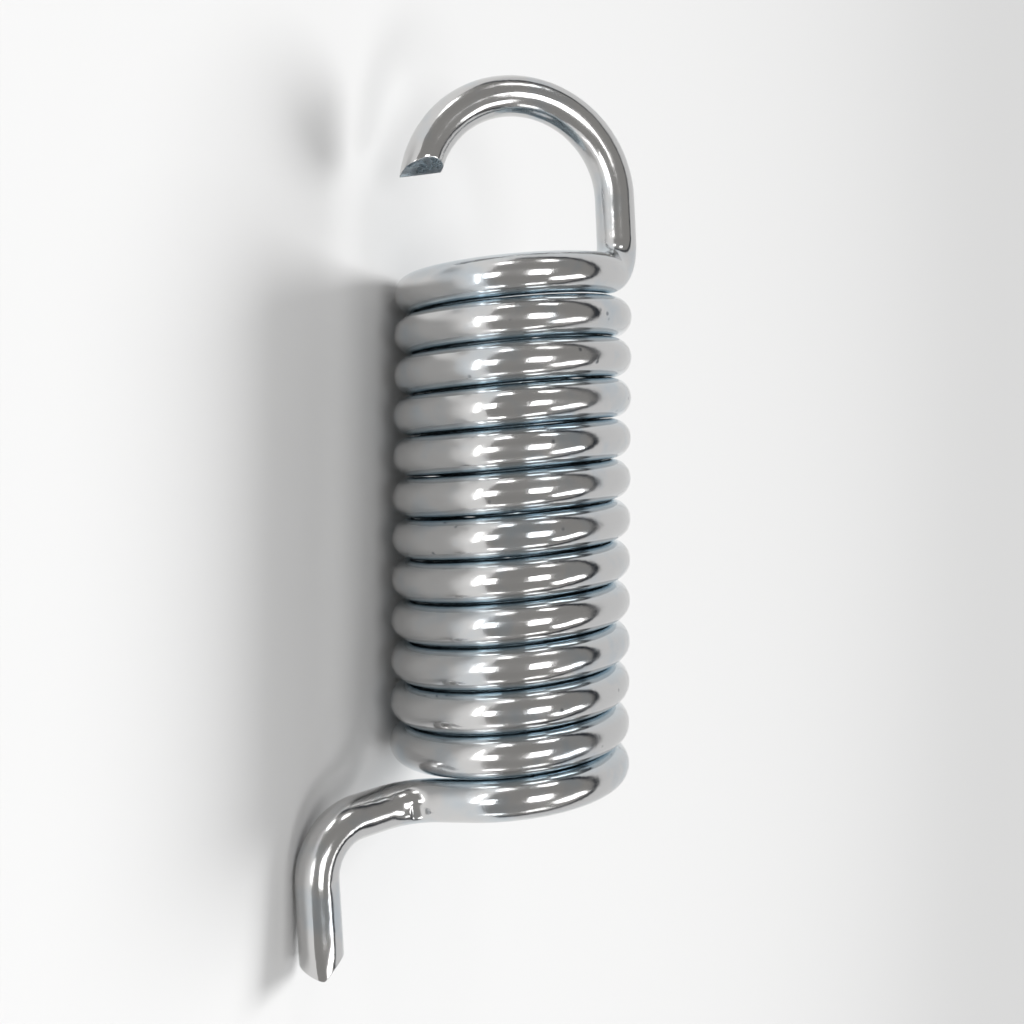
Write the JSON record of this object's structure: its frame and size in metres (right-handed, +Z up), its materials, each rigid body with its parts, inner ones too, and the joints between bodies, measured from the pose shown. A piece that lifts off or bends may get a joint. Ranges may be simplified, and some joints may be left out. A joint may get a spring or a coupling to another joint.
{
  "type": "extension spring",
  "caption": "Close-wound helical extension spring with an open side hook on one end and a cranked straight leg on the other.",
  "frame": {"origin": "centre of the bounding box's underside, on the surface that the spring lies on", "axes": "+Z up; +Y along the coil's axis, from the leg end to the hook end; +X across the coil, away from the leg"},
  "size_m": [0.0273, 0.0672, 0.0193],
  "materials": {
    "zinc_plated_steel": "bright zinc plating with a faint blue tint"
  },
  "bodies": {
    "root": {"spring_wire": "zinc_plated_steel"}
  },
  "joints": []
}
